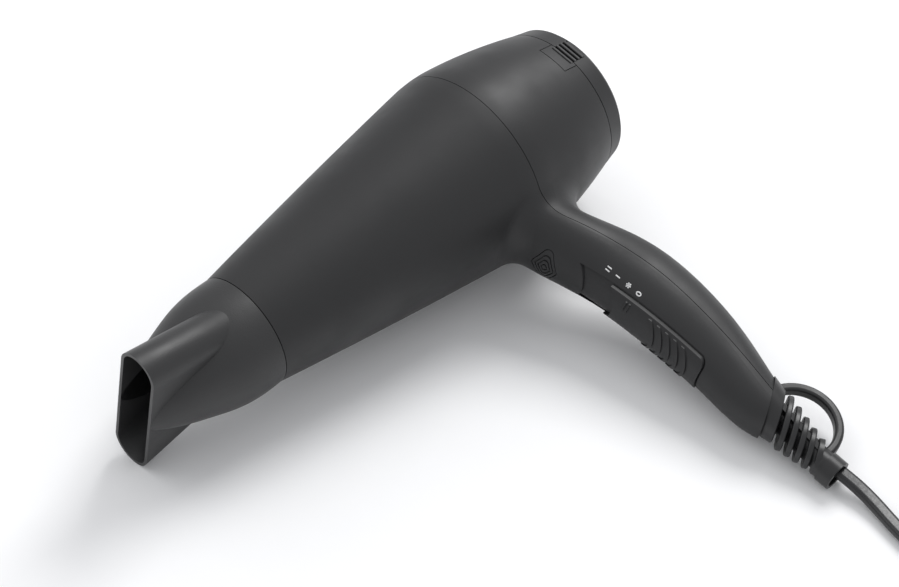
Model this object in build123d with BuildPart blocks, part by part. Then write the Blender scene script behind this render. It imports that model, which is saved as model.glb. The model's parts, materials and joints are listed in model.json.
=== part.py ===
from build123d import *
import math
import os

# A corded hair dryer lying on its side.
#
# The dryer is drawn in its own upright frame: x runs along the barrel from the nozzle (-x) to the
# air intake (+x), the handle hangs towards -y, and z points out of the side that faces up when the
# dryer lies down. LAY turns each finished piece into the lying pose, with the table at Z = 0 and
# the origin under the middle of the dryer. The cord, its coil and its plug are drawn on the table.
# All sizes are in millimetres.

# ---- driving dimensions: barrel ----
BARREL_R = 46.3          # corner of the two tapers at the widest seam, before its rounding
OUTLET_X, OUTLET_R = -134.7, 26.2
COVER_X, COVER_R = 54.4, 36.5
REAR_X, REAR_R = 64.8, 34.1
FRONT_BULGE, REAR_BULGE = 0.6, 1.4
SEAM_ROUND = 70
WALL = 2.2
PARTING = 0.3            # width of the line between the two housing halves
RUN = 0.4                # clearance around pieces that move

# ---- driving dimensions: handle, as (y, front x, back x, half thickness) ----
HANDLE = (
    (-28, -17, 17, 20.5),
    (-50, -15.9, 15.8, 18.8),
    (-64, -13.0, 21.2, 17.6),
    (-80, -9.6, 27.7, 16.6),
    (-101, -7.0, 30.8, 16.0),
    (-127, -6.0, 28.6, 15.5),
    (-150, -7.2, 23.1, 14.2),
    (-168, -8.0, 17.2, 12.6),
    (-184, -3.0, 13.0, 11.0),
)
BLEND = 12               # concave blend from handle to barrel
END_BACK = (18.9, -164.6)
END_FRONT = (-4.7, -178.1)
SEAM_CURVE = (
    (0, -47), (3.4, -59), (10, -80), (13, -100.5),
    (12.4, -124), (10, -150), (7, -172), (5, -188),
)

# ---- driving dimensions: slider, on a track curved about a far centre ----
TRACK_X, TRACK_Y = -331, -127
TRACK_R = 325            # track centre to the handle's front surface
SLIDER_TRAVEL = 15.5     # along y, from the low position to the high one
SLIDER_HALF = 10.0
SLIDER_LOW, SLIDER_FRONT, SLIDER_DIP = -143.0, -89.7, 5.2    # trailing edge, leading corners, hollow
SEAT_GAP = 0.8           # line left round the slider
SLIDER_RIBS, SLIDER_RIB_PITCH, SLIDER_RIB_FIRST = 5, 4.65, -111.5

# ---- driving dimensions: button ----
BUTTON_X, BUTTON_Y = -13.7, -60
BUTTON_A, BUTTON_B = 6.3, 12.6      # half diagonals of the diamond before its corners are rounded
BUTTON_ROUND = 2.4

# ---- driving dimensions: nozzle ----
NOZZLE_X, MOUTH_X = -135.1, -195.1
NOZZLE_WALL = 1.5
MOUTH_HALF, MOUTH_R = 39.4, 9.8
MOUTH_TURN = 2.5

# ---- driving dimensions: strain relief ----
COLLAR_LENGTH = 7.0
RIB_COUNT, RIB_PITCH, RIB_THICK, FIRST_RIB = 5, 5.0, 2.6, -182.2
SLEEVE_TOP, SLEEVE_END, SLEEVE_R, SLEEVE_BORE = -204.5, -214.0, 7.0, 5.3

LOOP_CENTRE, LOOP_R = (9.6, -186.4), 17.9

# ---- driving dimensions: cord, coil and plug ----
CORD_D = 6.4
COIL_MEAN, COIL_BUNDLE = 34.2, 9.8
COIL_X, COIL_Y, COIL_Z = 34.0, -292.0, 10.8

# ---- lying pose ----
ROLL = math.degrees(math.asin((BARREL_R - 0.4 - 0.98 * SLEEVE_R) / -SLEEVE_END))
PITCH = -2.1
SHIFT = (65.21, 82.91)    # from under the seam's centre to under the middle of the dryer

os.makedirs("parts", exist_ok=True)
pieces = {}


def keep(builder, label):
    """Take a finished builder's part as the piece of that name."""
    builder.part.label = label
    pieces[label] = builder.part


# ---- shared shapes ----
def barrel_outline(inset):
    """Half section of the barrel above its axis, drawn in by inset."""
    with BuildSketch() as outline:
        with BuildLine():
            ThreePointArc(
                (OUTLET_X, OUTLET_R - inset),
                (OUTLET_X / 2, (OUTLET_R + BARREL_R) / 2 + FRONT_BULGE - inset),
                (0, BARREL_R - inset),
            )
            ThreePointArc(
                (0, BARREL_R - inset),
                (COVER_X / 2, (COVER_R + BARREL_R) / 2 + REAR_BULGE - inset),
                (COVER_X, COVER_R - inset),
            )
            Polyline(
                (COVER_X, COVER_R - inset),
                (COVER_X, 0),
                (OUTLET_X, 0),
                (OUTLET_X, OUTLET_R - inset),
            )
        make_face()
        fillet(outline.vertices().sort_by(Axis.Y)[-1], SEAM_ROUND)
    return outline.sketch


def barrel_radius(x):
    """Outer radius of the barrel at x, near enough for pieces that stand inside it."""
    if x < 0:
        return BARREL_R + (BARREL_R - OUTLET_R) * x / -OUTLET_X
    return BARREL_R - (BARREL_R - COVER_R) * x / COVER_X


def handle_solid(inset):
    """The handle as a loft of ellipses, drawn in by inset."""
    with BuildPart() as body:
        for y, front, back, half in HANDLE:
            with BuildSketch(Plane(origin=((front + back) / 2, y, 0), x_dir=(1, 0, 0), z_dir=(0, -1, 0))):
                Ellipse((back - front) / 2 - inset, half - inset)
        loft()
    return body.part


def tube(x_from, x_to, outer, inner):
    """A ring round the barrel axis, kept apart from any builder."""
    length = x_to - x_from
    with BuildPart() as ring:
        with BuildSketch(Plane.YZ.offset(x_from)):
            Circle(outer)
            Circle(inner, mode=Mode.SUBTRACT)
        extrude(amount=length)
    return ring.part


def rear_region(shift):
    """Everything behind the parting surface, moved back by shift."""
    with BuildPart() as region:
        with BuildSketch():
            with BuildLine():
                curve = Spline([(x + shift, y) for x, y in SEAM_CURVE], tangents=((0, -1), (-0.1, -1)))
                Polyline(curve @ 1, (90, -188), (90, 70), (shift, 70), curve @ 0)
            make_face()
        extrude(amount=60, both=True)
    return region.part


# ---- housing shell, still in one piece ----
end_dir = Vector(END_BACK[0] - END_FRONT[0], END_BACK[1] - END_FRONT[1], 0).normalized()
end_out = Vector(end_dir.Y, -end_dir.X, 0)
end_mid = Vector((END_BACK[0] + END_FRONT[0]) / 2, (END_BACK[1] + END_FRONT[1]) / 2, 0)
end_plane = Plane(origin=end_mid, x_dir=end_dir, z_dir=end_out)

with BuildPart() as shell:
    revolve(barrel_outline(0), axis=Axis.X)
    add(handle_solid(0))
    junction = shell.edges().filter_by(lambda e: -50 < e.center().Y < -36 and abs(e.center().X) < 30)
    fillet(junction, BLEND)
    split(bisect_by=end_plane, keep=Keep.BOTTOM)
    revolve(barrel_outline(WALL), axis=Axis.X, mode=Mode.SUBTRACT)
    add(handle_solid(WALL), mode=Mode.SUBTRACT)


# ---- seat and slot that the slider runs in ----
def track_plane(degrees):
    """Plane through the track's centre line, turned by degrees, with its own x pointing outwards."""
    turn = math.radians(degrees)
    return Plane(
        origin=(TRACK_X, TRACK_Y, 0),
        x_dir=(math.cos(turn), math.sin(turn), 0),
        z_dir=(math.sin(turn), -math.cos(turn), 0),
    )


TRACK_AXIS = Axis((TRACK_X, TRACK_Y, 0), (0, 0, 1))


def track_sweep(depth_mid, depth_side, half, top, start, end):
    """Solid swept round the track: crowned inner face, from top inwards, between two angles."""
    with BuildPart() as swept:
        with BuildSketch(track_plane(start)):
            with BuildLine():
                ThreePointArc(
                    (TRACK_R + depth_side, -half), (TRACK_R + depth_mid, 0), (TRACK_R + depth_side, half)
                )
                Polyline(
                    (TRACK_R + depth_side, half), (TRACK_R + top, half),
                    (TRACK_R + top, -half), (TRACK_R + depth_side, -half),
                )
            make_face()
        revolve(axis=TRACK_AXIS, revolution_arc=end - start)
    return swept.part


def front_outline(front, dip, low, half, corner):
    """Prism along x of a slider or seat seen from the front: hollow leading edge, round low corners."""
    with BuildPart() as prism:
        with BuildSketch(Plane.YZ.offset(-24)) as outline:
            with BuildLine():
                ThreePointArc((front, -half), (front - dip, 0), (front, half))
                Polyline((front, half), (low, half), (low, -half), (front, -half))
            make_face()
            fillet(outline.vertices().group_by(Axis.X)[0], corner)
        extrude(amount=30)
    return prism.part


seat_outline = front_outline(
    SLIDER_FRONT + SLIDER_TRAVEL + 1.6, SLIDER_DIP + 1.1, SLIDER_LOW - 0.6, SLIDER_HALF + SEAT_GAP, 4
)
seat = track_sweep(1.0, 6.0, SLIDER_HALF + SEAT_GAP, -12, -3.4, 10.8).intersect(seat_outline)
SLOT_LOW, SLOT_HIGH, SLOT_HALF = -122.5, -98.6, 2.2
with BuildPart() as slot:
    with BuildSketch():
        with Locations((-4, (SLOT_LOW + SLOT_HIGH) / 2)):
            Rectangle(16, SLOT_HIGH - SLOT_LOW)
    extrude(amount=SLOT_HALF, both=True)

# ---- button prism on the front of the handle ----
button_out = Vector(-0.979, -0.203, 0)
button_up = Vector(-0.203, 0.979, 0)
button_plane = Plane(origin=(BUTTON_X, BUTTON_Y, 0), x_dir=button_up, z_dir=button_out)


def diamond(grow, start, end):
    """Rounded diamond prism along the button's axis, from start to end above the surface."""
    slope = math.hypot(BUTTON_A, BUTTON_B)
    along, across = BUTTON_A + grow * slope / BUTTON_B, BUTTON_B + grow * slope / BUTTON_A
    with BuildPart() as prism:
        with BuildSketch(button_plane.offset(start)) as outline:
            with BuildLine():
                Polyline((along, 0), (0, across), (-along, 0), (0, -across), (along, 0))
            make_face()
            fillet(outline.vertices(), BUTTON_ROUND + max(grow, 0.32 * grow))
        extrude(amount=end - start)
    return prism.part


button_hole = diamond(0.35, -9, 4)

# ---- latch tabs of the rear cover ----
TAB_X, TAB_HALF, TAB_GAP = 46.6, 7.5, 0.35


def tab_blocks(gap):
    """Blocks over the two latch tabs, on the sides that face up and down, grown by gap."""
    with BuildPart() as blocks:
        for side in (1, -1):
            with BuildSketch(Plane.XY.offset(side * 20)):
                with Locations(((TAB_X - gap + REAR_X + 6) / 2, 0)):
                    Rectangle(REAR_X + 6 - TAB_X + gap, 2 * (TAB_HALF + gap))
            extrude(amount=side * 30)
    return blocks.part


tab_zone = tab_blocks(0)

# ---- housing halves ----
SCREW_Y, SCREW_X = -157, 12
with BuildPart() as front_housing:
    add(shell.part)
    add(rear_region(-PARTING / 2), mode=Mode.SUBTRACT)
    add(tube(-9, 3, BARREL_R - WALL - 0.7, BARREL_R - WALL - 2.2))
    add(handle_solid(WALL), mode=Mode.SUBTRACT)
    with BuildSketch(Plane(origin=(-6.4, SCREW_Y, 0), x_dir=(0, 1, 0), z_dir=(1, 0, 0))):
        Circle(3.4)
        Circle(1.45, mode=Mode.SUBTRACT)
    extrude(amount=SCREW_X + 6.4)
    add(seat, mode=Mode.SUBTRACT)
    add(slot.part, mode=Mode.SUBTRACT)
    add(button_hole, mode=Mode.SUBTRACT)
keep(front_housing, "front_housing")

with BuildPart() as rear_housing:
    add(shell.part)
    add(rear_region(PARTING / 2), mode=Mode.INTERSECT)
    add(tab_blocks(TAB_GAP), mode=Mode.SUBTRACT)
    with BuildSketch(Plane(origin=(SCREW_X + 3, SCREW_Y, 0), x_dir=(0, 1, 0), z_dir=(1, 0, 0))):
        Circle(3.1)
    extrude(amount=20, mode=Mode.SUBTRACT)
    with BuildSketch(Plane(origin=(SCREW_X + 0.4, SCREW_Y, 0), x_dir=(0, 1, 0), z_dir=(1, 0, 0))):
        Circle(4.6)
        Circle(3.1, mode=Mode.SUBTRACT)
    extrude(amount=6)
    with BuildSketch(Plane(origin=(SCREW_X + 0.4, SCREW_Y, 0), x_dir=(0, 1, 0), z_dir=(1, 0, 0))):
        Circle(4.6)
        Circle(1.7, mode=Mode.SUBTRACT)
    extrude(amount=2)
keep(rear_housing, "rear_housing")

with BuildPart() as housing_screw:
    with BuildSketch(Plane(origin=(0, SCREW_Y, 0), x_dir=(0, 1, 0), z_dir=(1, 0, 0))):
        Circle(1.4)
    extrude(amount=SCREW_X + 2.4)
    with BuildSketch(Plane(origin=(SCREW_X + 2.5, SCREW_Y, 0), x_dir=(0, 1, 0), z_dir=(1, 0, 0))):
        Circle(2.8)
    extrude(amount=1.8)
    with BuildSketch(Plane(origin=(SCREW_X + 2.4, SCREW_Y, 0), x_dir=(0, 1, 0), z_dir=(1, 0, 0))):
        Circle(1.4)
    extrude(amount=0.2)
keep(housing_screw, "housing_screw")

# ---- rear air-intake cover with its two pinch latches ----
with BuildPart() as cover_body:
    with BuildSketch():
        with BuildLine():
            Polyline(
                (COVER_X + RUN, COVER_R - 0.1), (REAR_X - 1.6, REAR_R + 0.35), (REAR_X, REAR_R - 1.3),
                (REAR_X, 30.2), (REAR_X - 2.2, 29.2), (REAR_X - 2.2, REAR_R - 2.4),
                (COVER_X + RUN, COVER_R - WALL), (COVER_X + RUN, COVER_R - 0.1),
            )
        make_face()
    revolve(axis=Axis.X)
with BuildPart() as barrel_rear_skin:
    revolve(barrel_outline(0), axis=Axis.X)
    revolve(barrel_outline(WALL), axis=Axis.X, mode=Mode.SUBTRACT)
    add(tab_zone, mode=Mode.INTERSECT)
SCOOP_R, SCOOP_FLOOR, SCOOP_X = 15.0, 33.1, 62.0
with BuildPart() as rear_cover:
    add(cover_body.part)
    add(barrel_rear_skin.part)
    add(tube(COVER_X - 0.2, COVER_X + 1, COVER_R - 0.6, COVER_R - WALL).intersect(tab_zone))
    for side in (1, -1):
        with BuildSketch(Plane.XZ.offset(-5.8)):
            with Locations((SCOOP_X, side * (SCOOP_FLOOR + SCOOP_R))):
                Circle(SCOOP_R)
        extrude(amount=11.6, mode=Mode.SUBTRACT)
        with BuildSketch(Plane.XZ.offset(-5.8)):
            with Locations([(53.6 + 2.5 * i, side * (34.8 - 0.5 * i)) for i in range(4)]):
                RectangleRounded(1.4, 3.4, 0.5)
        extrude(amount=11.6)
keep(rear_cover, "rear_cover")

# ---- intake: retaining ring, screen and grille ----
GRILLE_X = REAR_X - 4.1
with BuildPart() as rear_grille:
    add(tube(GRILLE_X, GRILLE_X + 1.6, 31.0, 29.4))
    for ring in (25, 20, 15, 10, 5):
        add(tube(GRILLE_X, GRILLE_X + 1.6, ring + 0.7, ring - 0.7))
    with BuildSketch(Plane.YZ.offset(GRILLE_X)):
        with PolarLocations(0, 8):
            with Locations((15, 0)):
                Rectangle(30.4, 1.2)
    extrude(amount=1.6)
keep(rear_grille, "rear_grille")

with BuildPart() as filter_screen:
    with BuildSketch(Plane.YZ.offset(GRILLE_X - 0.7)):
        Circle(31.0)
    extrude(amount=0.4)
keep(filter_screen, "filter_screen")

with BuildPart() as filter_retainer:
    add(tube(GRILLE_X - 2.2, GRILLE_X - 0.9, 31.4, 28.6))
keep(filter_retainer, "filter_retainer")

# ---- nozzle: flat slot that runs back into a round dome and meets it in a crease ----
DOME = ((NOZZLE_X, 26.2), (-146, 26.2), (-156, 24.8), (-168, 21.3), (-180, 17.2), (-190, 12.6), (MOUTH_X, 9.7))
SLOT_BACK_X, SLOT_BACK_HALF = -141.0, 24.2


def nozzle_dome(inset):
    """Solid of revolution behind the mouth, drawn in by inset."""
    with BuildPart() as dome:
        with BuildSketch():
            with BuildLine():
                profile = Spline([(x, r - inset) for x, r in DOME], tangents=((-1, 0.03), (-0.85, -0.5)))
                Polyline(profile @ 1, (MOUTH_X, 0), (NOZZLE_X, 0), profile @ 0)
            make_face()
        revolve(axis=Axis.X)
    return dome.part


def nozzle_slot(inset):
    """Flat duct from inside the dome to the mouth, wider at the mouth, drawn in by inset."""
    with BuildPart() as duct:
        for x, half in ((SLOT_BACK_X, SLOT_BACK_HALF), (MOUTH_X, MOUTH_HALF)):
            with BuildSketch(Plane.YZ.offset(x)):
                SlotOverall(2 * (half - inset), 2 * (MOUTH_R - inset), rotation=90 + MOUTH_TURN)
        loft()
    return duct.part


with BuildPart() as nozzle:
    add(nozzle_dome(0))
    add(nozzle_slot(0))
    add(nozzle_dome(NOZZLE_WALL), mode=Mode.SUBTRACT)
    add(nozzle_slot(NOZZLE_WALL), mode=Mode.SUBTRACT)
keep(nozzle, "nozzle")

with BuildPart() as nozzle_collar:
    add(tube(-144.0, NOZZLE_X - 0.6, 23.7, 22.3))
keep(nozzle_collar, "nozzle_collar")

# ---- outlet: spigot and grille ----
with BuildPart() as outlet_ring:
    add(tube(-147, -126, 21.8, 20.3))
    add(tube(-134.2, -131.8, 23.8, 20.3))
keep(outlet_ring, "outlet_ring")

with BuildPart() as outlet_grille:
    add(tube(-130, -127.5, 20.2, 18.8))
    for ring in (13.5, 8, 3):
        add(tube(-130, -127.5, ring + 0.6, ring - 0.6))
    with BuildSketch(Plane.YZ.offset(-130)):
        with PolarLocations(0, 6):
            with Locations((11, 0)):
                Rectangle(16.4, 1.2)
    extrude(amount=2.5)
keep(outlet_grille, "outlet_grille")

# ---- heater: sleeve, crossed boards, coils, thermostat, fuse ----
HEAT_FRONT, HEAT_REAR = -122, -40
LINER_GAP = 3.4


def liner_radius(x):
    """Outer radius of the heat-shield sleeve at x."""
    return barrel_radius(x) - LINER_GAP


with BuildPart() as mica_sleeve:
    with BuildSketch():
        with BuildLine():
            Polyline(
                (HEAT_FRONT, liner_radius(HEAT_FRONT)), (HEAT_REAR, liner_radius(HEAT_REAR)),
                (HEAT_REAR, liner_radius(HEAT_REAR) - 0.8), (HEAT_FRONT, liner_radius(HEAT_FRONT) - 0.8),
                (HEAT_FRONT, liner_radius(HEAT_FRONT)),
            )
        make_face()
    revolve(axis=Axis.X)
keep(mica_sleeve, "mica_sleeve")


def board_half(x):
    """Half height of the crossed boards at x."""
    return liner_radius(x) - 4.4


with BuildPart() as mica_frame:
    for plane in (Plane.XY, Plane.XZ):
        with BuildSketch(plane):
            with BuildLine():
                Polyline(
                    (HEAT_FRONT + 4, board_half(HEAT_FRONT)), (HEAT_REAR - 2, board_half(HEAT_REAR)),
                    (HEAT_REAR - 2, -board_half(HEAT_REAR)), (HEAT_FRONT + 4, -board_half(HEAT_FRONT)),
                    (HEAT_FRONT + 4, board_half(HEAT_FRONT)),
                )
            make_face()
        extrude(amount=0.5, both=True)
keep(mica_frame, "mica_frame")

for label, first, count in (("heater_coil_front", -114, 6), ("heater_coil_rear", -76, 5)):
    with BuildPart() as heater_coil:
        for turn in range(count):
            at = first + 6 * turn
            add(tube(at, at + 1.4, board_half(at + 1.4) + 2.2, board_half(at + 1.4) + 0.8))
        last = first + 6 * count - 4.6
        with BuildSketch():
            with BuildLine():
                Polyline(
                    (first, board_half(first) + 1.9), (last, board_half(last) + 1.9),
                    (last, board_half(last) + 0.9), (first, board_half(first) + 0.9),
                    (first, board_half(first) + 1.9),
                )
            make_face()
        extrude(amount=0.5, both=True)
    keep(heater_coil, label)

with BuildPart() as thermostat:
    with BuildSketch(Plane.XY.offset(0.6)):
        with Locations((-60, 10)):
            Rectangle(14, 8)
    extrude(amount=4)
keep(thermostat, "thermostat")

with BuildPart() as thermal_fuse:
    with BuildSketch(Plane(origin=(-66, -10, 3), x_dir=(0, 1, 0), z_dir=(1, 0, 0))):
        Circle(2)
    extrude(amount=12)
keep(thermal_fuse, "thermal_fuse")

# ---- fan duct with stator, motor, rotor ----
DUCT_R, MOTOR_R, SHAFT_R = 33.6, 14.0, 1.5
with BuildPart() as fan_duct:
    add(tube(2, 48, DUCT_R + 1.4, DUCT_R))
    add(tube(-12, 22, MOTOR_R + 1.8, MOTOR_R + 0.1))
    for blade in range(9):
        lean = Rotation(360 * blade / 9, 0, 0) * Location((12, 24.7, 0)) * Rotation(0, 18, 0)
        add(lean * Box(14, 19.2, 1.4, mode=Mode.PRIVATE))
keep(fan_duct, "fan_duct")

with BuildPart() as motor:
    add(tube(-12, 20, MOTOR_R, SHAFT_R + 0.05))
keep(motor, "motor")

with BuildPart() as motor_end_cap:
    add(tube(20, 22, MOTOR_R - 1, SHAFT_R + 0.06))
    add(tube(22, 25, 5, SHAFT_R + 0.06))
keep(motor_end_cap, "motor_end_cap")

with BuildPart() as motor_shaft:
    with BuildSketch(Plane.YZ.offset(-10)):
        Circle(SHAFT_R)
    extrude(amount=50)
keep(motor_shaft, "motor_shaft")

with BuildPart() as fan_wheel:
    add(tube(27, 41, 12, SHAFT_R))
    for blade in range(7):
        lean = Rotation(360 * blade / 7, 0, 0) * Location((34, 21.4, 0)) * Rotation(0, 40, 0)
        add(lean * Box(15, 20.4, 1.6, mode=Mode.PRIVATE))
keep(fan_wheel, "fan_wheel")

# ---- rectifier board with diodes, in front of the motor ----
with BuildPart() as rectifier_board:
    add(tube(-14.2, -12.6, 13, 2.2))
keep(rectifier_board, "rectifier_board")

with BuildPart() as diodes:
    with BuildSketch(Plane.YZ.offset(-14.2)):
        with PolarLocations(8, 4):
            Circle(1.8)
    extrude(amount=-5)
keep(diodes, "diodes")

with BuildPart() as capacitor:
    with BuildSketch(Plane.YZ.offset(-14.2)):
        Rectangle(7, 5)
    extrude(amount=-6)
keep(capacitor, "capacitor")

# ---- slider with its carriage, switch and bracket ----
def crowned(lift):
    """Skin between two crowned surfaces about the track, its outer one raised by lift."""
    edge = TRACK_R + 5.9 - lift
    with BuildPart() as skin:
        with BuildSketch(track_plane(-3.4)):
            with BuildLine():
                ThreePointArc((edge, -12.5), (TRACK_R - 1 - lift, 0), (edge, 12.5))
                Line((edge, 12.5), (TRACK_R + 6.5, 12.5))
                ThreePointArc((TRACK_R + 6.5, 12.5), (TRACK_R - 0.4, 0), (TRACK_R + 6.5, -12.5))
                Line((TRACK_R + 6.5, -12.5), (edge, -12.5))
            make_face()
        revolve(axis=TRACK_AXIS, revolution_arc=11)
    return skin.part


slider_outline = front_outline(SLIDER_FRONT, SLIDER_DIP, SLIDER_LOW, SLIDER_HALF, 3.6)
with BuildPart() as slider_ribs:
    with BuildSketch(Plane.YZ.offset(-24)):
        for rib in range(SLIDER_RIBS):
            at = SLIDER_RIB_FIRST - SLIDER_RIB_PITCH * rib
            with BuildLine():
                ThreePointArc((at, -9.2), (at - SLIDER_DIP, 0), (at, 9.2))
                Line((at, 9.2), (at - 1.7, 9.2))
                ThreePointArc((at - 1.7, 9.2), (at - 1.7 - SLIDER_DIP, 0), (at - 1.7, -9.2))
                Line((at - 1.7, -9.2), (at, -9.2))
            make_face()
        with Locations((-99.4, 7.2), (-101.2, 7.2)):
            Rectangle(0.8, 3.8)
    extrude(amount=30)
with BuildPart() as speed_slider:
    add(track_sweep(0.6, 4.7, SLIDER_HALF, -6, -3.4, 7.6))
    with BuildSketch(track_plane(-4)):
        with BuildLine():
            ThreePointArc((TRACK_R + 5.9, -12.5), (TRACK_R - 1, 0), (TRACK_R + 5.9, 12.5))
            Polyline(
                (TRACK_R + 5.9, 12.5), (TRACK_R - 14, 12.5), (TRACK_R - 14, -12.5), (TRACK_R + 5.9, -12.5)
            )
        make_face()
    revolve(axis=TRACK_AXIS, revolution_arc=13, mode=Mode.SUBTRACT)
    add(slider_outline, mode=Mode.INTERSECT)
    add(crowned(0.7).intersect(slider_ribs.part))
keep(speed_slider, "speed_slider")

with BuildPart() as switch_carriage:
    with BuildSketch(Plane.XZ.offset(121.3)):
        with Locations((-2.6, 0)):
            Rectangle(5.6, 3.2)
    extrude(amount=-5.7)
    with BuildSketch(Plane.XZ.offset(122.3)):
        with Locations((-0.9, 0)):
            Rectangle(3.0, 10)
    extrude(amount=-7.7)
keep(switch_carriage, "switch_carriage")


# ---- switch body and its bracket ----
with BuildPart() as switch_body:
    with BuildSketch(Plane.XY.offset(-7)):
        with Locations((11, -110)):
            Rectangle(16, 36)
    extrude(amount=14)
    fillet(switch_body.edges().filter_by(Axis.Z), 1)
keep(switch_body, "switch_body")

with BuildPart() as switch_bracket:
    with BuildSketch(Plane.XY.offset(-8.5)):
        with Locations((20.3, -110)):
            Rectangle(1.8, 44)
    extrude(amount=17)
    with BuildSketch(Plane(origin=(21, -110, 0), x_dir=(0, 1, 0), z_dir=(1, 0, 0))):
        with GridLocations(30, 0.1, 2, 1):
            Circle(2.2)
    extrude(amount=4)
keep(switch_bracket, "switch_bracket")

# ---- cool-shot button, return spring and micro switch ----
STEM_R, SPRING_R = 1.8, 2.9
with BuildPart() as cool_shot_button:
    add(diamond(0, -4.6, 4).intersect(handle_solid(0.1)))
    for ring_out, ring_in in ((-1.2, -1.7), (-2.6, -3.1), (-4.1, -4.5)):
        add(diamond(ring_out, -6, 5).cut(diamond(ring_in, -7, 6), handle_solid(0.65)), mode=Mode.SUBTRACT)
    with BuildSketch(button_plane.offset(-5.8)):
        Ellipse(7.4, 8.0)
    extrude(amount=1.3)
    with BuildSketch(button_plane.offset(-9.4)):
        Circle(STEM_R)
    extrude(amount=3.8)
keep(cool_shot_button, "cool_shot_button")

with BuildPart() as button_spring:
    for turn in range(4):
        with BuildSketch(button_plane.offset(-6.5 - 1.3 * turn)):
            Circle(SPRING_R)
            Circle(SPRING_R - 0.6, mode=Mode.SUBTRACT)
        extrude(amount=0.6)
    for side in (1, -1):
        with BuildSketch(button_plane.offset(-10.4)):
            with Locations((0, side * (SPRING_R - 0.3))):
                Circle(0.28)
        extrude(amount=4.4)
keep(button_spring, "button_spring")

with BuildPart() as cool_shot_switch:
    with BuildSketch(button_plane.offset(-18)):
        Rectangle(13, 8)
    extrude(amount=7)
keep(cool_shot_switch, "cool_shot_switch")


# ---- strain relief: collar, slanted ribs, spine webs, stepped sleeve and hanging loop ----
def relief_axis(y):
    """x of the strain relief's centre line at y."""
    return 7.0 + (y + 172.2) * (7.0 - 3.2) / (214.0 - 172.2)


def slant_plane(y):
    """Plane across the strain relief at y, parallel to the handle's cut end."""
    return Plane(origin=(relief_axis(y), y, 0), x_dir=end_dir, z_dir=end_out)


end_half = (Vector(*END_BACK) - Vector(*END_FRONT)).length / 2
COLLAR_Y = end_mid.Y - 0.15
with BuildPart() as strain_relief:
    with BuildSketch(slant_plane(COLLAR_Y)):
        Ellipse(end_half - 0.1, 12.0)
    with BuildSketch(slant_plane(COLLAR_Y - COLLAR_LENGTH)):
        Ellipse(end_half - 1.5, 10.6)
    loft()
    with BuildSketch(slant_plane(COLLAR_Y + 4)):
        Ellipse(end_half - 4.4, 8.4)
    with BuildSketch(slant_plane(COLLAR_Y - 1)):
        Ellipse(end_half - 4.4, 8.4)
    loft()
    for rib in range(RIB_COUNT):
        y = FIRST_RIB - RIB_PITCH * rib
        with BuildSketch(slant_plane(y)):
            Ellipse(12.7 - 1.15 * rib, 10.2 - 0.75 * rib)
        extrude(amount=RIB_THICK / 2, both=True)
    fillet(
        strain_relief.edges().filter_by(lambda e: -206 < e.center().Y < -179.9 and e.length > 25), 0.7
    )
    with BuildSketch(slant_plane(-178)):
        Ellipse(6.4, 6.0)
    with BuildSketch(Plane(origin=(relief_axis(SLEEVE_TOP), SLEEVE_TOP, 0), z_dir=(0, -1, 0), x_dir=(1, 0, 0))):
        Ellipse(5.4, 5.4)
    loft()
    web_along = Vector(relief_axis(-205) - relief_axis(-174), -31, 0).normalized()
    web_across = Vector(-web_along.Y, web_along.X, 0)
    with BuildSketch(Plane(origin=(relief_axis(-174), -174, 0), x_dir=web_along, z_dir=web_across)):
        with BuildLine():
            Polyline((0, 9.8), (31.2, 5.6), (31.2, -5.6), (0, -9.8), (0, 9.8))
        make_face()
    extrude(amount=1.3, both=True)
    sleeve_x = relief_axis(SLEEVE_END)
    with BuildSketch(Plane(origin=(sleeve_x, SLEEVE_TOP + 0.5, 0), x_dir=(1, 0, 0), z_dir=(0, -1, 0))):
        Circle(SLEEVE_R - 0.7)
    extrude(amount=4)
    with BuildSketch(Plane(origin=(sleeve_x, SLEEVE_TOP - 3, 0), x_dir=(1, 0, 0), z_dir=(0, -1, 0))):
        Circle(SLEEVE_R)
    extrude(amount=SLEEVE_TOP - 3 - SLEEVE_END)
    with BuildSketch(Plane(origin=(sleeve_x, SLEEVE_END, 0), x_dir=(1, 0, 0), z_dir=(0, 1, 0))):
        Circle(SLEEVE_BORE)
    extrude(amount=7.5, mode=Mode.SUBTRACT)
    with BuildLine() as loop_path:
        CenterArc(LOOP_CENTRE, LOOP_R, 66, -160)
    with BuildSketch(Plane(origin=loop_path.line @ 0, z_dir=loop_path.line % 0, x_dir=(0, 0, 1))):
        RectangleRounded(5.4, 4.0, 1.4)
    sweep(path=loop_path.line)
keep(strain_relief, "strain_relief")

# ---- cord clamp with screws, wires inside the handle ----
with BuildPart() as cord_clamp:
    with BuildSketch(Plane(origin=(3.6, -163.5, 0), x_dir=(0, 1, 0), z_dir=(1, 0, 0))):
        RectangleRounded(6, 17, 1.2)
        with GridLocations(0.1, 12, 1, 2):
            Circle(1.25, mode=Mode.SUBTRACT)
    extrude(amount=3)
keep(cord_clamp, "cord_clamp")

with BuildPart() as clamp_screws:
    with BuildSketch(Plane(origin=(-1.6, -163.5, 0), x_dir=(0, 1, 0), z_dir=(1, 0, 0))):
        with GridLocations(0.1, 12, 1, 2):
            Circle(1.15)
    extrude(amount=8.3)
    with BuildSketch(Plane(origin=(6.7, -163.5, 0), x_dir=(0, 1, 0), z_dir=(1, 0, 0))):
        with GridLocations(0.1, 12, 1, 2):
            Circle(2.1)
    extrude(amount=1.5)
keep(clamp_screws, "clamp_screws")

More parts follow.
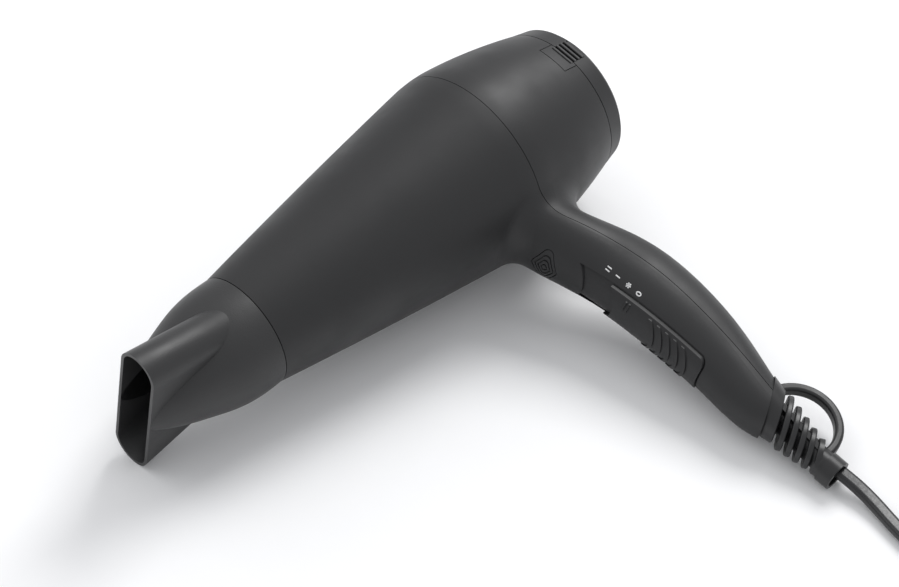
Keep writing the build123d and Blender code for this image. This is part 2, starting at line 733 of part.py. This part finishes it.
WIRE_R = 1.0
with BuildPart() as supply_wires:
    for side in (3.2, -3.2):
        with BuildLine() as run:
            FilletPolyline(
                (9.4, -164.5, side), (10.2, -152, side * 1.8), (11, -140, side), (11, -128.2, side),
                radius=12,
            )
        with BuildSketch(Plane(origin=run.line @ 0, z_dir=run.line % 0)):
            Circle(WIRE_R)
        sweep(path=run.line)
keep(supply_wires, "supply_wires")

with BuildPart() as heater_wires:
    for side in (4, -4):
        with BuildLine() as run:
            FilletPolyline((12, -91.8, side), (12, -76, side), (4, -40, side), (-14, -24, side), radius=16)
        with BuildSketch(Plane(origin=run.line @ 0, z_dir=run.line % 0)):
            Circle(WIRE_R)
        sweep(path=run.line)
keep(heater_wires, "heater_wires")

# ---- lay the dryer down ----
LAY = Location((SHIFT[0], SHIFT[1], 0)) * Location(
    (0, 0, (BARREL_R - 0.4) * math.cos(math.radians(PITCH))), (0, PITCH, 0)
) * Location((0, 0, 0), (ROLL, 0, 0))
laid = {label: piece.moved(LAY) for label, piece in pieces.items()}


def table_point(x, y, z):
    """A point given under the seam's centre, moved to the dryer's origin."""
    return (x + SHIFT[0], y + SHIFT[1], z)


# ---- cord from the sleeve to the coil, and from the coil to the plug ----
CORD_ROUTE = (
    (6.3, -203.2, 8.9), (7.6, -215.6, 6.3), (6.6, -228.4, 4.1),
    (3.3, -241.6, 3.3), (0.6, -255.2, 3.25), (0.2, -268.6, 3.3),
)
PLUG_ROUTE = (
    (58.5, -326.2, 3.3), (74, -326.2, 3.4), (90, -323.4, 3.6), (106.5, -319.6, 5.0), (122, -317.6, 6.6),
)


def arc_radii(points):
    """Radius of the tangent arc at each inner point: 0.45 of the shorter run over tan(half turn)."""
    radii = []
    for before, at, after in zip(points, points[1:], points[2:]):
        run_in, run_out = Vector(*at) - Vector(*before), Vector(*after) - Vector(*at)
        turn = math.radians(run_in.get_angle(run_out))
        radii.append(0.45 * min(run_in.length, run_out.length) / math.tan(turn / 2))
    return radii


def cord_tube(points, label):
    """Round tube of straight runs joined by tangent arcs."""
    places = [Vector(*table_point(*p)) for p in points]
    radii = arc_radii(points)
    with BuildPart() as tube_part:
        with BuildLine() as route:
            at = places[0]
            for corner, after, radius in zip(places[1:], places[2:], radii):
                into, out = (corner - at).normalized(), (after - corner).normalized()
                turn = math.radians(into.get_angle(out))
                reach = radius * math.tan(turn / 2)
                start, end = corner - into * reach, corner + out * reach
                bisector = (out - into).normalized()
                middle = corner + bisector * (radius / math.cos(turn / 2) - radius)
                Line(at, start)
                ThreePointArc(start, middle, end)
                at = end
            Line(at, places[-1])
        with BuildSketch(Plane(origin=places[0], z_dir=places[1] - places[0])):
            Circle(CORD_D / 2)
        sweep(path=route.line)
    tube_part.part.label = label
    length = route.wires()[0].length
    section = math.pi * (CORD_D / 2) ** 2
    ratio = tube_part.part.volume / (section * length)
    print(label, round(length, 1), "radii", [round(r) for r in radii], "volume ratio", round(ratio, 4))
    return tube_part.part


laid["power_cord"] = cord_tube(CORD_ROUTE, "power_cord")
laid["plug_cord"] = cord_tube(PLUG_ROUTE, "plug_cord")

COIL_AT = table_point(COIL_X, COIL_Y, COIL_Z)
with BuildPart() as cord_coil:
    with BuildSketch(Plane(origin=COIL_AT, x_dir=(1, 0, 0), z_dir=(0, -1, 0))):
        with Locations((COIL_MEAN, 0)):
            Circle(COIL_BUNDLE)
    revolve(axis=Axis(COIL_AT, (0, 0, 1)))
laid["cord_coil"] = cord_coil.part

with BuildPart() as cord_tie:
    with BuildSketch(Plane(origin=COIL_AT, x_dir=(1, 0, 0), z_dir=(0, -1, 0)).offset(-3)):
        with Locations((COIL_MEAN, 0)):
            Circle(COIL_BUNDLE + 0.95)
            Circle(COIL_BUNDLE + 0.25, mode=Mode.SUBTRACT)
    extrude(amount=6)
laid["cord_tie"] = cord_tie.part

# ---- plug: contour body, its relief and two pins, lying flat ----
PLUG_AT = table_point(131.5, -316.5, 7.6)
PLUG_TURN = 7
plug_along = (math.cos(math.radians(PLUG_TURN)), math.sin(math.radians(PLUG_TURN)), 0)
plug_plane = Plane(origin=PLUG_AT, x_dir=(0, 0, 1), z_dir=plug_along)
with BuildPart() as plug_relief:
    with BuildSketch(plug_plane.offset(-10)):
        Circle(4.4)
    with BuildSketch(plug_plane.offset(4)):
        Circle(5.8)
    loft()
laid["plug_relief"] = plug_relief.part

with BuildPart() as plug_body:
    with BuildSketch(plug_plane.offset(4)):
        RectangleRounded(12, 15, 5)
    with BuildSketch(plug_plane.offset(22)):
        RectangleRounded(14.4, 34, 6.5)
    with BuildSketch(plug_plane.offset(38)):
        RectangleRounded(14.4, 35, 6.5)
    loft()
laid["plug_body"] = plug_body.part

PIN_R, PIN_LENGTH, PIN_PITCH = 2.4, 19.0, 19.0
for index, side in enumerate((1, -1)):
    with BuildPart() as plug_pin:
        with BuildSketch(plug_plane.offset(38)):
            with Locations((0, side * PIN_PITCH / 2)):
                Circle(PIN_R)
        extrude(amount=PIN_LENGTH)
        fillet(plug_pin.edges().filter_by(GeomType.CIRCLE).sort_by(Axis.X)[-1], 1.2)
    laid[f"plug_pin_{index + 1}"] = plug_pin.part

for label, piece in laid.items():
    piece.label = label
    export_step(piece, f"parts/{label}.step")
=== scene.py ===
"""Hair dryer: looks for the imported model, laid out as a Blender add-on and run as a script."""

import json
import math

import bmesh
import bpy
from bpy.props import FloatProperty, FloatVectorProperty, IntProperty, PointerProperty
from bpy.types import Operator, Panel, PropertyGroup
from mathutils import Matrix, Vector
from mathutils.bvhtree import BVHTree


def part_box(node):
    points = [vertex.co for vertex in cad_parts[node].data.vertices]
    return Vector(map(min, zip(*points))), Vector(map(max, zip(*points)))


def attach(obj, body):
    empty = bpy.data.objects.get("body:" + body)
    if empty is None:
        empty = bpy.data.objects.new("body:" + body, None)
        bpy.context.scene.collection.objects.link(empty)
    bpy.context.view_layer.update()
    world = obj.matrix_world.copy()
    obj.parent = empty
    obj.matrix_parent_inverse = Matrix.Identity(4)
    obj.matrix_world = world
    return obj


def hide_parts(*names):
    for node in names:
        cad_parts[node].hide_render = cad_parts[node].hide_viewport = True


bl_info = {
    "name": "Hair Dryer Finish",
    "version": (1, 0, 0),
    "blender": (4, 5, 0),
    "location": "View3D > Sidebar > Dryer",
    "description": "Finishes, cord and small parts for a corded hair dryer lying on its side",
    "category": "Object",
}

MM = 0.001
SENSOR_WIDTH = 36  # millimetres
STROKE_WIDE, STROKE_FINE = 0.27, 0.17  # half widths of the printed lines, in millimetres
INK_LIFT = 0.03  # how far the ink stands off the housing, in millimetres
WIRE_RADIUS, WIRE_PITCH, SCREEN_RADIUS = 0.13 * MM, 1.5 * MM, 30.6 * MM

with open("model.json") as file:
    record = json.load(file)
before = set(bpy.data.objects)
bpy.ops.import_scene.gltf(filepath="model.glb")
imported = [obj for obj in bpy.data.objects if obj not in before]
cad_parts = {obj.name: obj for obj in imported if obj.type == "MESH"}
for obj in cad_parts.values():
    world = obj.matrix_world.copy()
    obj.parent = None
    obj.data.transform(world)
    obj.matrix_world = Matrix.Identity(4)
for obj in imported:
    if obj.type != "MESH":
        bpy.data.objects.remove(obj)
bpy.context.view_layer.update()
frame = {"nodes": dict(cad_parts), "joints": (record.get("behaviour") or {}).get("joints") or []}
NODES = frame["nodes"]
JOINTS = {joint["name"]: joint for joint in frame["joints"]}

# The dryer's own upright frame: x along the barrel to the air intake, y against the handle,
# z out of the side that faces up. It is read from the joints, so it lies as the model lies.
BARREL = Vector(JOINTS["fan_spin"]["axis"]).normalized()
UPWARD = Vector(JOINTS["slider_track"]["axis"]).normalized()
SIDEWAYS = UPWARD.cross(BARREL).normalized()
FAN_AT = 34 * MM  # the fan's place along the barrel, from its seam
SEAM_CENTRE = Vector(JOINTS["fan_spin"]["pos_m"]) - BARREL * FAN_AT
LAID = Matrix.Translation(SEAM_CENTRE) @ Matrix((BARREL, SIDEWAYS, UPWARD)).transposed().to_4x4()


def laid(x, y, z=0.0):
    """A point of the upright dryer, in millimetres, where it lies in the row frame."""
    return LAID @ Vector((x * MM, y * MM, z * MM))


def turned(x, y, z=0.0):
    """A direction of the upright dryer, turned as it lies."""
    return (LAID.to_3x3() @ Vector((x, y, z))).normalized()


# ---- mesh helpers ----
def new_object(name, mesh):
    """An object at the origin with that mesh, linked to the scene."""
    made = bpy.data.objects.new(name, mesh)
    bpy.context.scene.collection.objects.link(made)
    return made


def mesh_from(name, points, faces, smooth=True):
    """A mesh object from points and faces, shaded smooth or flat."""
    mesh = bpy.data.meshes.new(name)
    mesh.from_pydata([tuple(p) for p in points], [], faces)
    mesh.update()
    for polygon in mesh.polygons:
        polygon.use_smooth = smooth
    return new_object(name, mesh)


def join_meshes(name, pieces):
    """One mesh object from several, at the origin."""
    points, faces = [], []
    for piece in pieces:
        first = len(points)
        points += [piece.matrix_world @ v.co for v in piece.data.vertices]
        faces += [[first + i for i in polygon.vertices] for polygon in piece.data.polygons]
        bpy.data.objects.remove(piece)
    return mesh_from(name, points, faces)


def ring_of(centre, across, over, section):
    """The section's points placed at centre along two directions."""
    return [centre + across * a + over * b for a, b in section]


def tube_mesh(name, rings, closed=False, caps=True):
    """Skin over rings that have the same number of points."""
    count = len(rings[0])
    points = [p for ring in rings for p in ring]
    faces = []
    last = len(rings) if closed else len(rings) - 1
    for i in range(last):
        a, b = i * count, (i + 1) % len(rings) * count
        faces += [(a + j, a + (j + 1) % count, b + (j + 1) % count, b + j) for j in range(count)]
    if caps and not closed:
        faces.append(tuple(reversed(range(count))))
        faces.append(tuple((len(rings) - 1) * count + j for j in range(count)))
    return mesh_from(name, points, faces)


def round_section(radius, count=16):
    """Points of a circle."""
    return [
        (radius * math.cos(2 * math.pi * i / count), radius * math.sin(2 * math.pi * i / count))
        for i in range(count)
    ]


def sweep_line(name, line, section, over=None, closed=False):
    """A tube of the section along a line of points, kept level with 'over' where it is given."""
    rings = []
    count = len(line)
    side = None
    for i, at in enumerate(line):
        before = line[(i - 1) % count] if closed or i else at
        after = line[(i + 1) % count] if closed or i < count - 1 else at
        ahead = (after - before).normalized()
        if over is not None:
            side = over.cross(ahead).normalized()
        elif side is None:
            side = ahead.orthogonal().normalized()
        else:
            side = (side - ahead * side.dot(ahead)).normalized()
        rings.append(ring_of(at, side, ahead.cross(side).normalized(), section))
    return tube_mesh(name, rings, closed)


# ---- materials ----
def node_material(name):
    """A new material with its node tree and Principled shader."""
    made = bpy.data.materials.new(name)
    made.use_nodes = True
    tree = made.node_tree
    return made, tree, tree.nodes["Principled BSDF"]


def object_noise(tree, scale, detail=3.0, rough=0.55):
    """A noise texture in the object's own coordinates."""
    place = tree.nodes.new("ShaderNodeTexCoord")
    noise = tree.nodes.new("ShaderNodeTexNoise")
    noise.inputs["Scale"].default_value = scale
    noise.inputs["Detail"].default_value = detail
    noise.inputs["Roughness"].default_value = rough
    tree.links.new(place.outputs["Object"], noise.inputs["Vector"])
    return noise


def remap(tree, source, low, high, from_low=0.3, from_high=0.7):
    """The source's values carried to a range."""
    spread = tree.nodes.new("ShaderNodeMapRange")
    spread.inputs["From Min"].default_value = from_low
    spread.inputs["From Max"].default_value = from_high
    spread.inputs["To Min"].default_value = low
    spread.inputs["To Max"].default_value = high
    tree.links.new(source, spread.inputs["Value"])
    return spread.outputs["Result"]


def add_bump(tree, shader, sources):
    """Bumps chained one on the other: each source is (height, strength, distance)."""
    normal = None
    for height, strength, distance in sources:
        bump = tree.nodes.new("ShaderNodeBump")
        bump.inputs["Strength"].default_value = strength
        bump.inputs["Distance"].default_value = distance
        tree.links.new(height, bump.inputs["Height"])
        if normal is not None:
            tree.links.new(normal, bump.inputs["Normal"])
        normal = bump.outputs["Normal"]
    tree.links.new(normal, shader.inputs["Normal"])


def tinted(tree, shader, factor, dark, light):
    """Base colour between two shades by a factor."""
    blend = tree.nodes.new("ShaderNodeMix")
    blend.data_type = "RGBA"
    blend.inputs["A"].default_value = (*dark, 1)
    blend.inputs["B"].default_value = (*light, 1)
    tree.links.new(factor, blend.inputs["Factor"])
    tree.links.new(blend.outputs["Result"], shader.inputs["Base Color"])


def moulded_plastic(name, colour, roughness, grain, depth, specular=0.5, spread=0.08):
    """Moulded plastic with a fine spark-eroded texture and slight patches of sheen."""
    made, tree, shader = node_material(name)
    fine = object_noise(tree, grain, 4.0, 0.6)
    broad = object_noise(tree, 38, 3.0, 0.5)
    shader.inputs["Specular IOR Level"].default_value = specular
    dark = [c * 0.93 for c in colour]
    light = [c * 1.07 for c in colour]
    tinted(tree, shader, remap(tree, fine.outputs["Fac"], 0, 1), dark, light)
    rough = remap(tree, broad.outputs["Fac"], roughness - spread, roughness + spread)
    tree.links.new(rough, shader.inputs["Roughness"])
    add_bump(tree, shader, [(fine.outputs["Fac"], 0.55, depth)])
    return made


def metal(name, colour, roughness, grain=900):
    """Bare metal with faint uneven polish."""
    made, tree, shader = node_material(name)
    noise = object_noise(tree, grain, 3.0)
    shader.inputs["Metallic"].default_value = 1.0
    tinted(tree, shader, remap(tree, noise.outputs["Fac"], 0, 1), [c * 0.9 for c in colour], colour)
    rough = remap(tree, noise.outputs["Fac"], roughness * 0.8, roughness * 1.25)
    tree.links.new(rough, shader.inputs["Roughness"])
    add_bump(tree, shader, [(noise.outputs["Fac"], 0.2, 0.00002)])
    return made


def dress(name, material):
    """Give a CAD node one material, shaded smooth between its real edges."""
    made = NODES[name]
    made.data.materials.clear()
    made.data.materials.append(material)
    smooth_by_angle(made)


def smooth_by_angle(made, degrees=32):
    """Smooth shading with sharp edges kept sharp."""
    for polygon in made.data.polygons:
        polygon.use_smooth = True
    with bpy.context.temp_override(object=made, selected_objects=[made], active_object=made):
        bpy.ops.object.shade_smooth_by_angle(angle=math.radians(degrees))


# ---- settings ----
class DryerStageSettings(PropertyGroup):
    """Camera, floor and light."""

    camera_at: FloatVectorProperty(
        name="Camera",
        description="Where the camera stands, from the middle of the barrel's seam",
        default=(-0.57591, -0.53778, 0.74163),
        subtype="TRANSLATION",
    )
    camera_right: FloatVectorProperty(
        name="Right",
        description="The view's own right",
        default=(0.69988, -0.71412, 0.01442),
        subtype="DIRECTION",
    )
    camera_down: FloatVectorProperty(
        name="Down",
        description="The view's own down",
        default=(-0.50908, -0.51288, -0.69122),
        subtype="DIRECTION",
    )
    lens: FloatProperty(
        name="Lens", description="Focal length on the sensor", default=97.3, unit="CAMERA"
    )
    floor: FloatProperty(name="Floor", description="Half width of the floor", default=6.0, unit="LENGTH")


class DryerFinishSettings(PropertyGroup):
    """Colours of the moulded parts."""

    body: FloatVectorProperty(
        name="Body",
        description="Matte charcoal of the housing",
        default=(0.0205, 0.0205, 0.0213),
        subtype="COLOR",
    )
    nozzle: FloatVectorProperty(
        name="Nozzle",
        description="Grainier charcoal of the nozzle",
        default=(0.0250, 0.0250, 0.0257),
        subtype="COLOR",
    )
    rubber: FloatVectorProperty(
        name="Rubber",
        description="Black of the strain relief and plug",
        default=(0.0150, 0.0150, 0.0157),
        subtype="COLOR",
    )
    mark: FloatVectorProperty(
        name="Marks", description="Printed marks", default=(0.78, 0.78, 0.78), subtype="COLOR"
    )


class DryerCordSettings(PropertyGroup):
    """The mains cord."""

    width: FloatProperty(
        name="Width", description="Width of the flat cord", default=0.0064, unit="LENGTH"
    )
    thickness: FloatProperty(
        name="Thickness", description="Thickness of the flat cord", default=0.0042, unit="LENGTH"
    )
    length: FloatProperty(
        name="Length", description="Whole length, sleeve to plug", default=1.8, unit="LENGTH"
    )
    turns: FloatProperty(name="Turns", description="Turns in the put-away coil", default=7.25)
    steps: IntProperty(name="Steps", description="Points in each turn", default=16)


# ---- stage ----
class DRYER_OT_stage(Operator):
    """Camera, pale floor and soft studio light"""

    bl_idname = "dryer.stage"
    bl_label = "Stage"

    def execute(self, context):
        settings = context.scene.dryer_stage
        self.add_camera(context, settings)
        self.add_floor(settings)
        self.add_light(context)
        return {"FINISHED"}

    def add_camera(self, context, settings):
        """The camera, from its place and its own right and down."""
        data = bpy.data.cameras.new("camera")
        data.lens = settings.lens
        data.sensor_width = SENSOR_WIDTH
        data.clip_start = 0.01
        camera = new_object("camera", data)
        right = Vector(settings.camera_right).normalized()
        back = right.cross(-Vector(settings.camera_down)).normalized()
        turn = Matrix((right, back.cross(right), back)).transposed().to_4x4()
        camera.matrix_world = Matrix.Translation(SEAM_CENTRE + Vector(settings.camera_at)) @ turn
        context.scene.camera = camera

    def add_floor(self, settings):
        """A plain pale floor under the lowest point."""
        half = settings.floor
        corners = [(-half, -half, 0), (half, -half, 0), (half, half, 0), (-half, half, 0)]
        floor = mesh_from("floor", corners, [(0, 1, 2, 3)], smooth=False)
        made, tree, shader = node_material("floor_paint")
        noise = object_noise(tree, 60)
        tinted(tree, shader, noise.outputs["Fac"], (0.93, 0.93, 0.935), (0.945, 0.945, 0.95))
        shader.inputs["Roughness"].default_value = 0.85
        shader.inputs["Specular IOR Level"].default_value = 0.1
        floor.data.materials.append(made)

    def add_light(self, context):
        """A bright room with a soft light behind to the right and a weaker one to the left."""
        world = bpy.data.worlds.new("studio")
        context.scene.world = world
        context.scene.view_settings.view_transform = "Standard"
        world.use_nodes = True
        background = world.node_tree.nodes["Background"]
        background.inputs["Color"].default_value = (0.97, 0.98, 1.0, 1)
        background.inputs["Strength"].default_value = 0.72
        self.area("key_light", (1.05, 0.25, 1.25), 0.75, 15.0)
        self.area("fill_light", (-0.4, 0.9, 1.3), 1.2, 3.0)

    def area(self, name, at, size, power):
        """A square area light aimed at the dryer."""
        data = bpy.data.lights.new(name, "AREA")
        data.size = size
        data.energy = power
        light = new_object(name, data)
        aim = (Vector((0, 0, 0.03)) - Vector(at)).to_track_quat("-Z", "Y")
        light.matrix_world = Matrix.Translation(Vector(at)) @ aim.to_matrix().to_4x4()


# ---- CAD pieces and their finishes ----
class DRYER_OT_finishes(Operator):
    """Materials of the moulded, metal and hidden parts"""

    bl_idname = "dryer.finishes"
    bl_label = "Finishes"

    def execute(self, context):
        colours = context.scene.dryer_finish
        body = moulded_plastic("body_plastic", colours.body, 0.50, 2600, 0.00004, 0.36)
        nozzle = moulded_plastic("nozzle_plastic", colours.nozzle, 0.46, 1700, 0.00010, 0.42)
        rubber = moulded_plastic("relief_rubber", colours.rubber, 0.38, 1500, 0.00003, 0.45, 0.1)
        inner = moulded_plastic("inner_plastic", (0.018, 0.018, 0.019), 0.5, 1200, 0.00003)
        mica = moulded_plastic("mica_board", (0.42, 0.36, 0.25), 0.45, 500, 0.00003, 0.6, 0.15)
        board = moulded_plastic("circuit_board", (0.02, 0.11, 0.05), 0.4, 700, 0.00002)
        sheath = moulded_plastic("wire_sheath", (0.30, 0.05, 0.04), 0.35, 700, 0.00001)
        steel = metal("zinc_steel", (0.60, 0.60, 0.61), 0.35)
        nickel = metal("nickel_pin", (0.78, 0.77, 0.74), 0.2)
        finishes = {
            body: (
                "front_housing", "rear_housing", "rear_cover", "rear_grille", "filter_retainer",
                "speed_slider", "cool_shot_button",
            ),
            nozzle: ("nozzle", "nozzle_collar"),
            rubber: ("strain_relief", "plug_relief", "plug_body"),
            inner: (
                "outlet_ring", "outlet_grille", "fan_duct", "fan_wheel", "motor_end_cap",
                "switch_carriage", "switch_body", "cool_shot_switch", "cord_clamp", "diodes",
                "capacitor", "cord_tie",
            ),
            mica: ("mica_sleeve", "mica_frame"),
            board: ("rectifier_board",),
            sheath: ("supply_wires", "heater_wires"),
            steel: (
                "housing_screw", "heater_coil_front", "heater_coil_rear", "thermostat",
                "thermal_fuse", "motor", "motor_shaft", "switch_bracket", "button_spring",
                "clamp_screws",
            ),
            nickel: ("plug_pin_1", "plug_pin_2"),
        }
        for material, names in finishes.items():
            for name in names:
                dress(name, material)
        return {"FINISHED"}


# ---- mains cord ----
# Metres, from the floor under the barrel's seam: from inside the sleeve to the coil, and from the
# coil to the plug.
CORD_SHIFT = Vector((SEAM_CENTRE.x, SEAM_CENTRE.y, 0))
ROUTE_TO_COIL = (
    (0.0063, -0.2032, 0.0089), (0.0076, -0.2156, 0.0063), (0.0066, -0.2284, 0.0041),
    (0.0033, -0.2416, 0.0033), (0.0006, -0.2552, 0.00325), (0.0002, -0.2686, 0.0033),
)
ROUTE_TO_PLUG = (
    (0.0585, -0.3262, 0.0033), (0.0740, -0.3262, 0.0034), (0.0900, -0.3234, 0.0036),
    (0.1065, -0.3196, 0.0050), (0.1220, -0.3176, 0.0066),
)
COIL_CENTRE = (0.0340, -0.2920, 0.0108)
COIL_MEAN = 0.0342
STAY = 0.6  # the part of each turn that keeps its place in the bundle before it eases to the next


def coil_points(turns, steps, pitch):
    """Points of the coil's turns: seven places across the bundle, taken one after the other."""
    half, rise = pitch / 2, pitch * math.sqrt(3) / 2
    places = [(-half, -rise), (-pitch, 0), (-half, rise), (half, rise), (pitch, 0), (0, 0), (half, -rise)]
    points = []
    for step in range(int(turns * steps) + 1):
        done = step / steps
        here = min(int(done), len(places) - 1)
        after = min(here + 1, len(places) - 1)
        ease = max(0.0, (done - here - STAY) / (1 - STAY)) if here < after else 0.0
        ease = ease * ease * (3 - 2 * ease)
        out = places[here][0] * (1 - ease) + places[after][0] * ease
        up = places[here][1] * (1 - ease) + places[after][1] * ease
        angle = math.pi + 2 * math.pi * done
        radius = COIL_MEAN + out
        around = Vector((radius * math.cos(angle), radius * math.sin(angle), up))
        points.append(Vector(COIL_CENTRE) + around)
    return points


def spline_line(name, points, resolution):
    """Points along one open NURBS spline that has the given control points."""
    curve = bpy.data.curves.new(name, "CURVE")
    curve.dimensions = "3D"
    spline = curve.splines.new("NURBS")
    spline.points.add(len(points) - 1)
    for place, point in zip(spline.points, points):
        place.co = (*point, 1)
    spline.order_u = 3
    spline.use_endpoint_u = True
    spline.resolution_u = resolution
    holder = new_object(name, curve)
    bpy.context.view_layer.update()
    mesh = bpy.data.meshes.new_from_object(holder)
    line = [v.co.copy() for v in mesh.vertices]
    bpy.data.objects.remove(holder)
    bpy.data.meshes.remove(mesh)
    return line


def flat_section(width, thickness, count=24):
    """Twin-core outline: two round cores with a shallow valley between them on both faces."""
    points = []
    for i in range(count):
        angle = 2 * math.pi * i / count
        across = width / 2 * math.copysign(abs(math.cos(angle)) ** 0.72, math.cos(angle))
        valley = 1 - 0.10 * math.exp(-((across / (0.10 * width)) ** 2))
        over = thickness / 2 * math.copysign(abs(math.sin(angle)) ** 0.62, math.sin(angle)) * valley
        points.append((across, over))
    return points


class DRYER_OT_cord(Operator):
    """Flat twin-core mains cord, from the sleeve through its coil to the plug"""

    bl_idname = "dryer.cord"
    bl_label = "Mains cord"

    def execute(self, context):
        settings = context.scene.dryer_cord
        route = [Vector(p) for p in ROUTE_TO_COIL]
        route += coil_points(settings.turns, settings.steps, settings.width)
        route += [Vector(p) for p in ROUTE_TO_PLUG]
        route = [p + CORD_SHIFT for p in route]
        line = spline_line("cord_route", route, 6)
        section = flat_section(settings.width, settings.thickness)
        cord = sweep_line("mains_cord", line, section, over=Vector((0, 0, 1)))
        cord.data.materials.append(self.sheath())
        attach(cord, "dryer")
        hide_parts("power_cord", "plug_cord", "cord_coil")
        return {"FINISHED"}

    def sheath(self):
        """Black PVC with a soft shine and faint drag marks."""
        made, tree, shader = node_material("cord_sheath")
        noise = object_noise(tree, 700)
        tinted(tree, shader, noise.outputs["Fac"], (0.008, 0.008, 0.009), (0.014, 0.014, 0.015))
        tree.links.new(remap(tree, noise.outputs["Fac"], 0.2, 0.34), shader.inputs["Roughness"])
        add_bump(tree, shader, [(noise.outputs["Fac"], 0.3, 0.00002)])
        return made


# ---- printed marks beside the slider ----
class DRYER_OT_marks(Operator):
    """White position marks printed on the handle beside the slider"""

    bl_idname = "dryer.marks"
    bl_label = "Marks"

    def execute(self, context):
        housing = NODES["front_housing"].data
        points = [v.co for v in housing.vertices]
        self.skin = BVHTree.FromPolygons(points, [p.vertices for p in housing.polygons])
        strokes = []
        for along, shape in ((-84.0, "high"), (-89.2, "low"), (-95.2, "cool"), (-101.0, "off")):
            for line, closed, half_width in self.outline(shape):
                strokes.append(self.stroke(along, line, closed, half_width))
        marks = join_meshes("position_marks", strokes)
        made, tree, shader = node_material("mark_ink")
        ink = Vector(context.scene.dryer_finish.mark)
        noise = object_noise(tree, 2500)
        tinted(tree, shader, noise.outputs["Fac"], ink * 0.86, ink)
        shader.inputs["Roughness"].default_value = 0.5
        add_bump(tree, shader, [(noise.outputs["Fac"], 0.2, 0.00002)])
        marks.data.materials.append(made)
        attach(marks, "dryer")
        return {"FINISHED"}

    def outline(self, shape):
        """Lines of one mark in millimetres along and across the handle, with their half widths."""
        if shape == "high":
            return [([(1.15, side), (-1.15, side)], False, STROKE_WIDE) for side in (0.75, -0.75)]
        if shape == "low":
            return [([(1.15, 0), (-1.15, 0)], False, STROKE_WIDE)]
        if shape == "off":
            turn = [2 * math.pi * i / 20 for i in range(20)]
            return [([(1.1 * math.cos(a), 0.75 * math.sin(a)) for a in turn], True, STROKE_WIDE)]
        lines = []
        for arm in range(6):
            angle = math.pi * arm / 3
            tip = Vector((math.cos(angle), math.sin(angle)))
            lines.append(([tip * 0.1, tip * 1.3], False, STROKE_FINE))
            for side in (-0.9, 0.9):
                barb = Vector((math.cos(angle + side), math.sin(angle + side)))
                lines.append(([tip * 0.7, tip * 0.7 + barb * 0.45], False, STROKE_FINE))
        return lines

    def stroke(self, along, line, closed, half_width):
        """A flat ink line that follows the housing."""
        across = Vector((0.72, 0, 0.69))
        outward = Vector((-0.69, 0, 0.72))
        if not closed:
            line = [Vector(line[0]).lerp(Vector(line[1]), i / 4) for i in range(5)]
        centre = []
        for a, b in line:
            start = Vector((-0.4, along + a, 12.3)) + across * b + outward * 8
            hit = self.skin.ray_cast(laid(*start), -turned(*outward))
            centre.append((hit[0], hit[1]))
        rings = []
        count = len(centre)
        for i, (at, normal) in enumerate(centre):
            before = centre[(i - 1) % count][0] if closed or i else at
            after = centre[(i + 1) % count][0] if closed or i < count - 1 else at
            side = normal.cross(after - before).normalized() * half_width * MM
            lift = normal * INK_LIFT * MM
            rings.append([at + side + lift, at - side + lift, at - side - lift, at + side - lift])
        return tube_mesh("ink", rings, closed)


# ---- woven intake screen ----
class DRYER_OT_screen(Operator):
    """Woven steel screen behind the intake grille"""

    bl_idname = "dryer.screen"
    bl_label = "Intake screen"

    def execute(self, context):
        low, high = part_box("filter_screen")
        centre = (Vector(low) + Vector(high)) / 2
        section = round_section(WIRE_RADIUS, 5)
        wires = []
        count = int(SCREEN_RADIUS / WIRE_PITCH)
        for first, second, phase in ((SIDEWAYS, UPWARD, 0), (UPWARD, SIDEWAYS, 1)):
            for i in range(-count, count + 1):
                reach = math.sqrt(max(SCREEN_RADIUS**2 - (i * WIRE_PITCH) ** 2, 0))
                steps = max(2, int(reach / WIRE_PITCH))
                line = []
                for j in range(-steps, steps + 1):
                    wave = WIRE_RADIUS * (1 if (i + j + phase) % 2 else -1)
                    place = centre + second * (i * WIRE_PITCH) + first * (j * WIRE_PITCH)
                    line.append(place + BARREL * wave)
                wires.append(sweep_line("wire", line, section))
        screen = join_meshes("intake_screen", wires)
        screen.data.materials.append(metal("screen_steel", (0.42, 0.42, 0.43), 0.32))
        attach(screen, "rear_cover")
        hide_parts("filter_screen")
        return {"FINISHED"}


CLASSES = (
    DryerStageSettings,
    DryerFinishSettings,
    DryerCordSettings,
    DRYER_OT_stage,
    DRYER_OT_finishes,
    DRYER_OT_cord,
    DRYER_OT_marks,
    DRYER_OT_screen,
)


class DRYER_PT_panel(Panel):
    """Everything that dresses the dryer, in working order"""

    bl_idname = "DRYER_PT_panel"
    bl_label = "Hair dryer"
    bl_space_type = "VIEW_3D"
    bl_region_type = "UI"
    bl_category = "Dryer"

    def draw(self, context):
        for operator in CLASSES:
            if issubclass(operator, Operator):
                self.layout.operator(operator.bl_idname)


def register():
    for cls in (*CLASSES, DRYER_PT_panel):
        bpy.utils.register_class(cls)
    bpy.types.Scene.dryer_stage = PointerProperty(type=DryerStageSettings)
    bpy.types.Scene.dryer_finish = PointerProperty(type=DryerFinishSettings)
    bpy.types.Scene.dryer_cord = PointerProperty(type=DryerCordSettings)


def unregister():
    del bpy.types.Scene.dryer_cord
    del bpy.types.Scene.dryer_finish
    del bpy.types.Scene.dryer_stage
    for cls in reversed((*CLASSES, DRYER_PT_panel)):
        bpy.utils.unregister_class(cls)


def main():
    register()
    bpy.ops.dryer.stage()
    bpy.ops.dryer.cord()
    bpy.ops.dryer.finishes()
    bpy.ops.dryer.marks()
    bpy.ops.dryer.screen()


if __name__ == "__main__":
    main()
